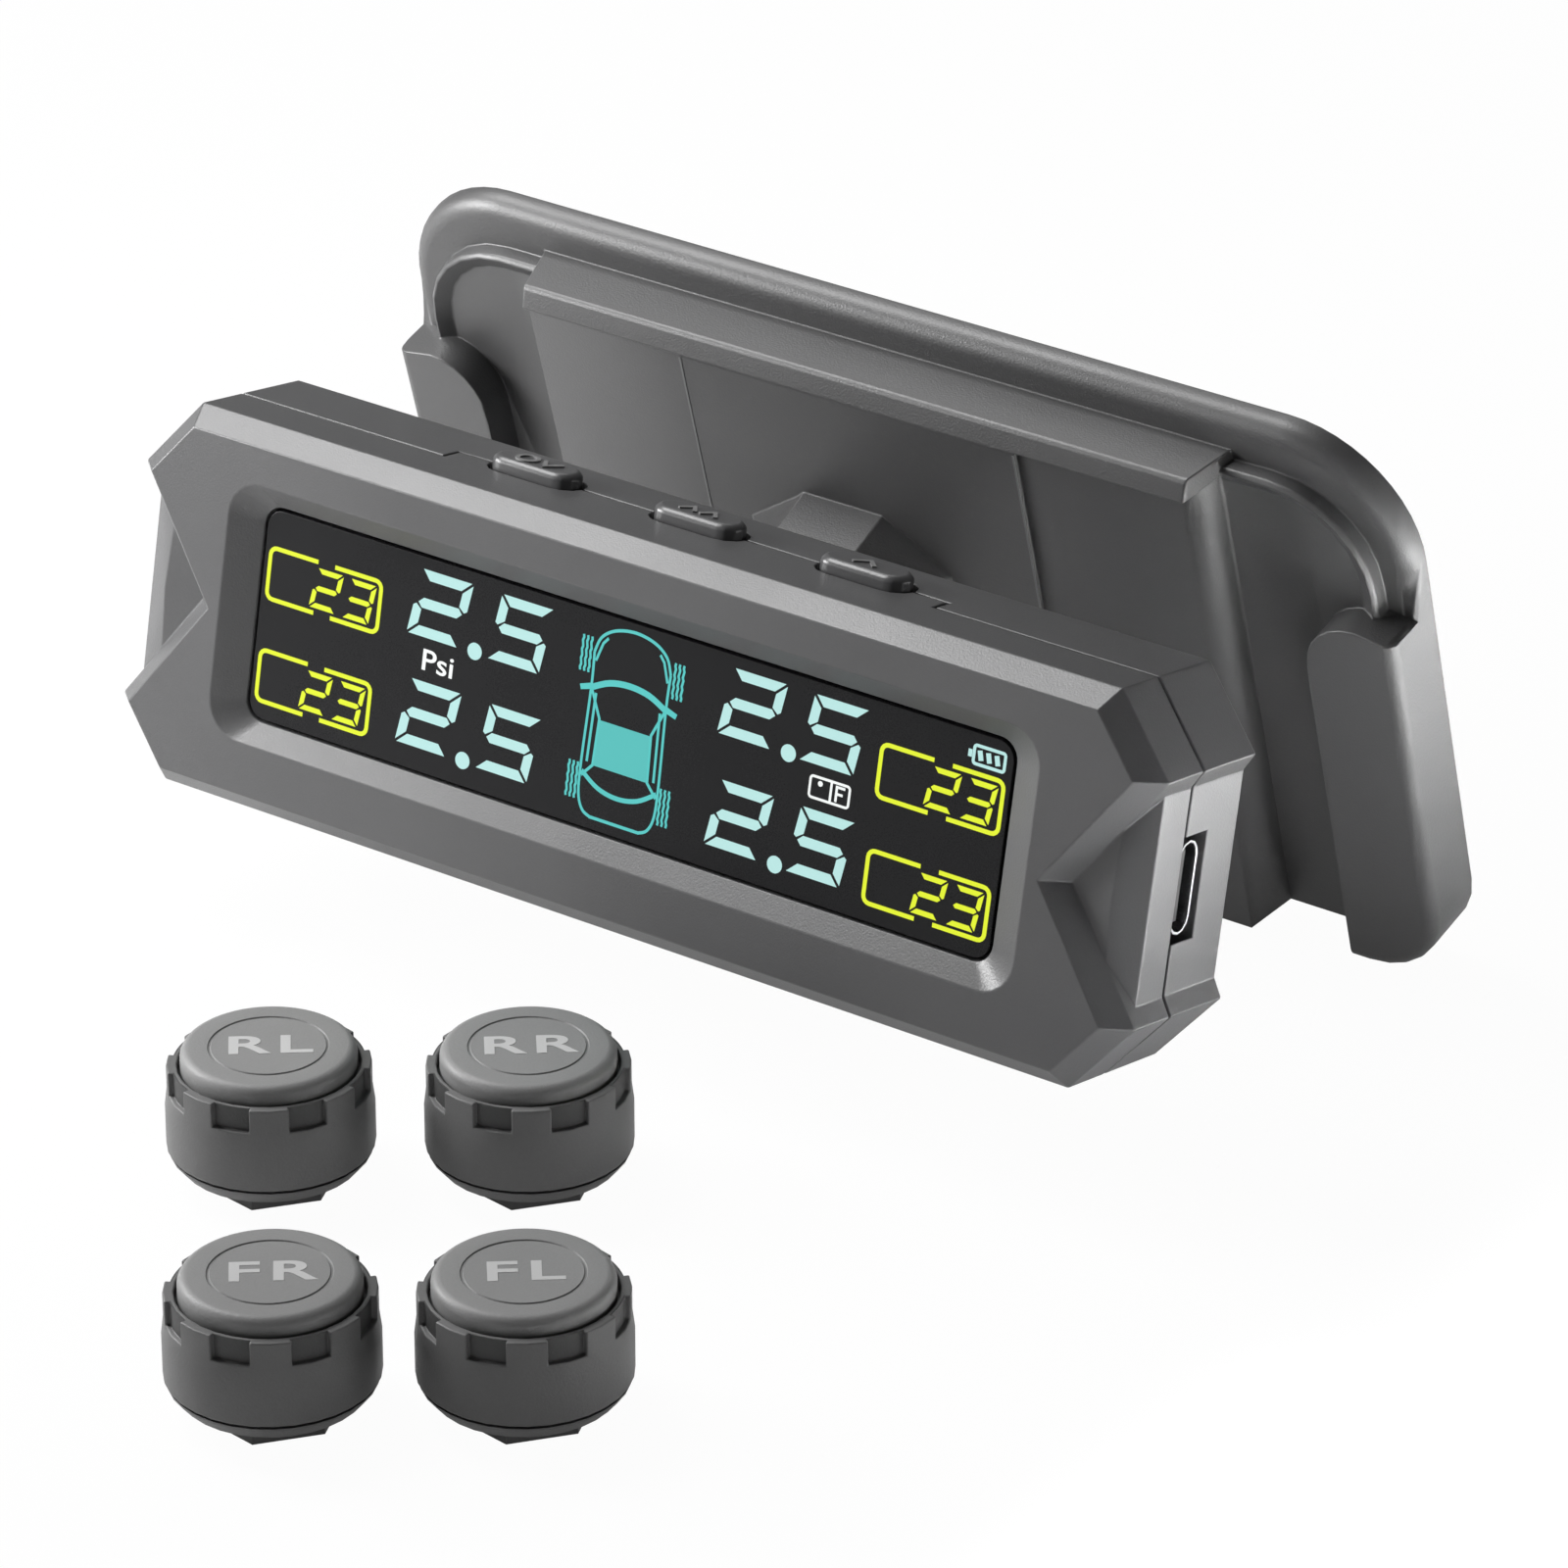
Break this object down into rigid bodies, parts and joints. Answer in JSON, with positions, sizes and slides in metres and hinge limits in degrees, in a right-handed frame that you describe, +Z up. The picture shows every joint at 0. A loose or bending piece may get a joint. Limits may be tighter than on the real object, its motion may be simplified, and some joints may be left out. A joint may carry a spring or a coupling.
{
  "type": "tire pressure monitor",
  "caption": "Tire pressure monitor: a display with top buttons tilting on an adhesive windscreen holder, with screw-on valve cap sensors.",
  "frame": {"origin": "centre of the adhesive pad's back face", "axes": "+X along the display to its right-hand end, +Y from the screen towards the holder, +Z up"},
  "size_m": [0.1152, 0.1387, 0.0592],
  "materials": {
    "case_plastic": "satin fine-textured",
    "holder_plastic": "satin fine-textured",
    "button_plastic": "satin",
    "screen_glass": "polished",
    "lcd_dark": "polished",
    "backlight_white": "matt",
    "circuit_green": "satin",
    "battery_foil": "satin",
    "black_plastic": "matt",
    "brass": "satin",
    "steel": "satin",
    "adhesive_foam": "matt",
    "gasket_rubber": "matt",
    "sensor_plastic": "matt fine-textured"
  },
  "bodies": {
    "holder": {"holder": "holder_plastic", "adhesive_pad": "adhesive_foam"},
    "display": {"front_bezel": "case_plastic", "rear_shell": "case_plastic", "screen_lens": "screen_glass", "lcd_panel": "lcd_dark", "backlight_plate": "backlight_white", "main_board": "circuit_green", "battery_cell": "battery_foil", "buzzer": "black_plastic", "antenna_strip": "brass", "usb_socket": "steel", "usb_tongue": "black_plastic", "switch_left": "black_plastic", "switch_middle": "black_plastic", "switch_right": "black_plastic", "case_screw_1": "steel", "case_screw_2": "steel", "case_screw_3": "steel", "case_screw_4": "steel", "hinge_pin": "steel"},
    "button_left": {"button_left": "button_plastic"},
    "button_middle": {"button_middle": "button_plastic"},
    "button_right": {"button_right": "button_plastic"},
    "sensor_rl_base": {"sensor_rl_base": "sensor_plastic", "sensor_rl_thread_insert": "brass", "sensor_rl_gasket": "gasket_rubber", "sensor_rl_circuit": "circuit_green", "sensor_rl_coin_cell": "steel"},
    "sensor_rl_cap": {"sensor_rl_body": "sensor_plastic", "sensor_rl_lid": "sensor_plastic"},
    "sensor_rr_base": {"sensor_rr_base": "sensor_plastic", "sensor_rr_thread_insert": "brass", "sensor_rr_gasket": "gasket_rubber", "sensor_rr_circuit": "circuit_green", "sensor_rr_coin_cell": "steel"},
    "sensor_rr_cap": {"sensor_rr_body": "sensor_plastic", "sensor_rr_lid": "sensor_plastic"},
    "sensor_fr_base": {"sensor_fr_base": "sensor_plastic", "sensor_fr_thread_insert": "brass", "sensor_fr_gasket": "gasket_rubber", "sensor_fr_circuit": "circuit_green", "sensor_fr_coin_cell": "steel"},
    "sensor_fr_cap": {"sensor_fr_body": "sensor_plastic", "sensor_fr_lid": "sensor_plastic"},
    "sensor_fl_base": {"sensor_fl_base": "sensor_plastic", "sensor_fl_thread_insert": "brass", "sensor_fl_gasket": "gasket_rubber", "sensor_fl_circuit": "circuit_green", "sensor_fl_coin_cell": "steel"},
    "sensor_fl_cap": {"sensor_fl_body": "sensor_plastic", "sensor_fl_lid": "sensor_plastic"}
  },
  "joints": [
    {"name": "display_tilt", "type": "hinge", "parent": "holder", "child": "display", "pos_m": [0, -0.0306, -0.00154], "axis": [1, 0, 0], "range_deg": [-30, 30]},
    {"name": "button_left_press", "type": "slide", "parent": "display", "child": "button_left", "axis": [0, -0.2028, -0.9792], "range_m": [0, 0.0006], "stiffness_N_per_m": 1500, "springref_m": -0.0002},
    {"name": "button_middle_press", "type": "slide", "parent": "display", "child": "button_middle", "axis": [0, -0.2028, -0.9792], "range_m": [0, 0.0006], "stiffness_N_per_m": 1500, "springref_m": -0.0002},
    {"name": "button_right_press", "type": "slide", "parent": "display", "child": "button_right", "axis": [0, -0.2028, -0.9792], "range_m": [0, 0.0006], "stiffness_N_per_m": 1500, "springref_m": -0.0002},
    {"name": "sensor_rl_lift", "type": "slide", "parent": "holder", "child": "sensor_rl_base", "axis": [0, 0, 1], "range_m": [0, 0.04]},
    {"name": "sensor_rl_unscrew", "type": "hinge", "parent": "sensor_rl_base", "child": "sensor_rl_cap", "pos_m": [-0.0098, -0.0912, -0.03114], "axis": [0, 0, 1], "range_deg": [0, 360]},
    {"name": "sensor_rr_lift", "type": "slide", "parent": "holder", "child": "sensor_rr_base", "axis": [0, 0, 1], "range_m": [0, 0.04]},
    {"name": "sensor_rr_unscrew", "type": "hinge", "parent": "sensor_rr_base", "child": "sensor_rr_cap", "pos_m": [0.00905, -0.0777, -0.03114], "axis": [0, 0, 1], "range_deg": [0, 360]},
    {"name": "sensor_fr_lift", "type": "slide", "parent": "holder", "child": "sensor_fr_base", "axis": [0, 0, 1], "range_m": [0, 0.04]},
    {"name": "sensor_fr_unscrew", "type": "hinge", "parent": "sensor_fr_base", "child": "sensor_fr_cap", "pos_m": [0.0152, -0.1221, -0.03114], "axis": [0, 0, 1], "range_deg": [0, 360]},
    {"name": "sensor_fl_lift", "type": "slide", "parent": "holder", "child": "sensor_fl_base", "axis": [0, 0, 1], "range_m": [0, 0.04]},
    {"name": "sensor_fl_unscrew", "type": "hinge", "parent": "sensor_fl_base", "child": "sensor_fl_cap", "pos_m": [0.0327, -0.1095, -0.03114], "axis": [0, 0, 1], "range_deg": [0, 360]}
  ]
}
